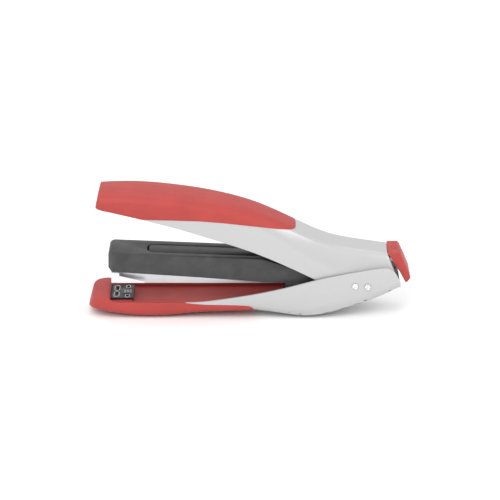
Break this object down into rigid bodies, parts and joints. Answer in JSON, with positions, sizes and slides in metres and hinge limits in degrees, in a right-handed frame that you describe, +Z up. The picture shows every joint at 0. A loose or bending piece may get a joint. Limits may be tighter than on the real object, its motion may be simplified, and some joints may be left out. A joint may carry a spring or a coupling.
{
  "type": "stapler",
  "caption": "Plier-style full-strip desk stapler with a high open handle, red grips, silver shells, black magazine, sliding staple tray and a two-way anvil.",
  "frame": {"origin": "on the table, under the middle of the overall length and width", "axes": "+X along the length, towards the release button; +Y across; +Z up"},
  "size_m": [0.193, 0.039, 0.0778],
  "materials": {
    "red_grip": "soft matte",
    "red_button": "satin",
    "silver_shell": "satin metallic paint",
    "black_plastic": "satin",
    "black_steel": "satin black",
    "zinc_steel": "zinc plated",
    "tray_steel": "bright plated",
    "pin_steel": "polished",
    "spring_steel": "drawn wire",
    "staple_wire": "galvanised wire"
  },
  "bodies": {
    "base": {"base_shell": "silver_shell", "base_front_grip": "red_grip", "base_frame": "zinc_steel", "handle_pin": "pin_steel", "magazine_pin": "pin_steel", "frame_rivets": "pin_steel", "return_spring": "spring_steel"},
    "anvil": {"anvil_plate": "black_steel", "anvil_post": "zinc_steel"},
    "magazine": {"magazine_cover": "black_plastic", "magazine_frame": "zinc_steel", "magazine_rail": "zinc_steel"},
    "driver": {"driver_arm": "black_steel", "driver_blade": "spring_steel"},
    "tray": {"staple_tray": "tray_steel", "front_bracket": "tray_steel", "guide_rod": "pin_steel", "staple_strip": "staple_wire", "pusher_spring": "spring_steel"},
    "pusher": {"pusher": "black_plastic"},
    "handle": {"handle_shell": "silver_shell", "handle_grip": "red_grip", "handle_frame": "zinc_steel", "press_bar": "zinc_steel", "button_pin": "zinc_steel", "button_spring": "spring_steel"},
    "button": {"release_button": "red_button"}
  },
  "joints": [
    {"name": "handle_press", "type": "hinge", "parent": "base", "child": "handle", "pos_m": [0.0632, 0, 0.0215], "axis": [0, -1, 0], "range_deg": [0, 13], "stiffness_Nm_per_rad": 0.5, "springref_deg": -20.05},
    {"name": "magazine_swing", "type": "hinge", "parent": "base", "child": "magazine", "pos_m": [0.0706, 0, 0.0211], "axis": [0, -1, 0], "range_deg": [0, 1.8]},
    {"name": "driver_press", "type": "hinge", "parent": "magazine", "child": "driver", "pos_m": [0.0706, 0, 0.0211], "axis": [0, -1, 0], "range_deg": [0, 2.9]},
    {"name": "tray_slide", "type": "slide", "parent": "magazine", "child": "tray", "axis": [-1, 0, 0], "range_m": [0, 0.08]},
    {"name": "pusher_slide", "type": "slide", "parent": "tray", "child": "pusher", "axis": [1, 0, 0], "range_m": [0, 0.085], "stiffness_N_per_m": 15, "springref_m": -0.05, "deforming": ["pusher_spring"]},
    {"name": "button_press", "type": "hinge", "parent": "handle", "child": "button", "pos_m": [0.088, 0, 0.0358], "axis": [0, 1, 0], "range_deg": [0, 4], "stiffness_Nm_per_rad": 0.1, "springref_deg": -11.46},
    {"name": "anvil_lift", "type": "slide", "parent": "base", "child": "anvil", "axis": [0, 0, 1], "range_m": [0, 0.0025], "stiffness_N_per_m": 200, "springref_m": -0.004}
  ],
  "couplings": [
    {"joint": "magazine_swing", "follows": "handle_press", "ratio": 0.13845},
    {"joint": "driver_press", "follows": "handle_press", "ratio": 0.22307}
  ]
}
